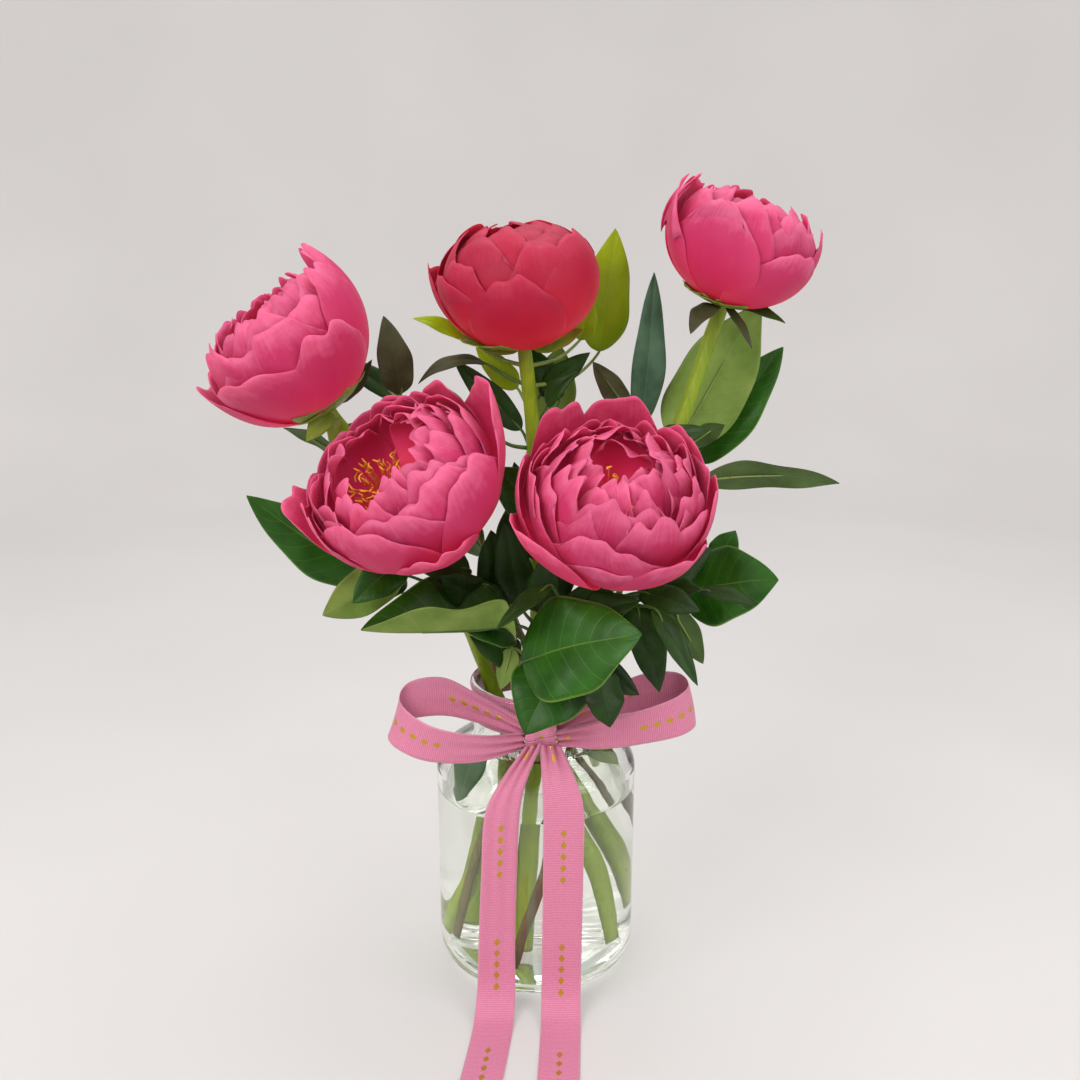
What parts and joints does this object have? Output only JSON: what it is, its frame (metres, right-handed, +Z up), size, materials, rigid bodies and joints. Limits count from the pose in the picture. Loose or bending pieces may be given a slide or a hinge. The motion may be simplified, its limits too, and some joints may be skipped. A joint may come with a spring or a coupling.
{
  "type": "peony bouquet in a glass jar",
  "caption": "Cut peonies with glossy foliage standing in a clear wide-mouthed glass jar, with a ribbon tied in a bow at its neck and long tails.",
  "frame": {"origin": "centre of the jar's flat foot, on the surface that the jar stands on", "axes": "+Z up along the jar's upright axis; the bow and the ribbon's tails are on the -Y side, and +X is to the right when the bow is looked at"},
  "size_m": [0.3328, 0.263, 0.451],
  "materials": {
    "jar_glass": "gloss",
    "ribbon": "satin",
    "petal_pink": "matte",
    "petal_coral": "matte",
    "stem_green": "satin",
    "stem_woody": "matte",
    "leaf_dark": "gloss",
    "leaf_pale": "satin",
    "leaf_lime": "satin",
    "leaf_olive": "satin"
  },
  "bodies": {
    "root": {"glass_jar": "jar_glass", "ribbon_neck_band": "ribbon", "ribbon_knot": "ribbon", "ribbon_loop_left": "ribbon", "ribbon_loop_right": "ribbon", "ribbon_tail_left": "ribbon", "ribbon_tail_right": "ribbon", "left_peony_heart": "petal_pink", "left_peony_guard_petal_front": "petal_pink", "left_peony_guard_petal_right": "petal_pink", "left_peony_guard_petal_back": "petal_pink", "left_peony_guard_petal_left": "petal_pink", "left_peony_stem": "stem_green", "top_centre_peony_heart": "petal_coral", "top_centre_peony_guard_petal_left": "petal_coral", "top_centre_peony_guard_petal_right": "petal_coral", "top_centre_peony_guard_petal_back": "petal_coral", "top_centre_peony_stem": "stem_green", "top_right_peony_heart": "petal_pink", "top_right_peony_guard_petal_left": "petal_pink", "top_right_peony_guard_petal_right": "petal_pink", "top_right_peony_guard_petal_back": "petal_pink", "top_right_peony_stem": "stem_green", "mid_left_peony_heart": "petal_pink", "mid_left_peony_guard_petal_front": "petal_pink", "mid_left_peony_guard_petal_right": "petal_pink", "mid_left_peony_guard_petal_back": "petal_pink", "mid_left_peony_guard_petal_left": "petal_pink", "mid_left_peony_stem": "stem_green", "mid_right_peony_heart": "petal_pink", "mid_right_peony_guard_petal_front": "petal_pink", "mid_right_peony_guard_petal_right": "petal_pink", "mid_right_peony_guard_petal_back": "petal_pink", "mid_right_peony_guard_petal_left": "petal_pink", "mid_right_peony_stem": "stem_green", "front_foliage_stem": "stem_woody", "left_foliage_stem": "stem_woody", "right_foliage_stem": "stem_woody", "olive_leaf_left": "leaf_olive", "grey_leaf_left": "leaf_pale", "dark_leaf_left": "leaf_dark", "pale_leaf_low_left": "leaf_pale", "front_leaf_left": "leaf_dark", "narrow_leaf_front": "leaf_dark", "front_leaf_right": "leaf_dark", "dark_leaf_over_knot": "leaf_dark", "small_leaf_over_bow": "leaf_dark", "hanging_leaf_right": "leaf_dark", "narrow_leaf_right": "leaf_dark", "light_leaf_right": "leaf_pale", "broad_leaf_right": "leaf_dark", "long_leaf_right": "leaf_pale", "large_leaf_behind_right": "leaf_pale", "folded_leaf_behind_right": "leaf_dark", "pointed_leaf_right": "leaf_dark", "lime_leaf_top": "leaf_lime", "narrow_leaf_under_top": "leaf_dark", "dark_narrow_leaf_top": "leaf_dark", "small_leaf_under_top": "leaf_dark", "dark_leaf_centre": "leaf_dark"}
  },
  "joints": []
}
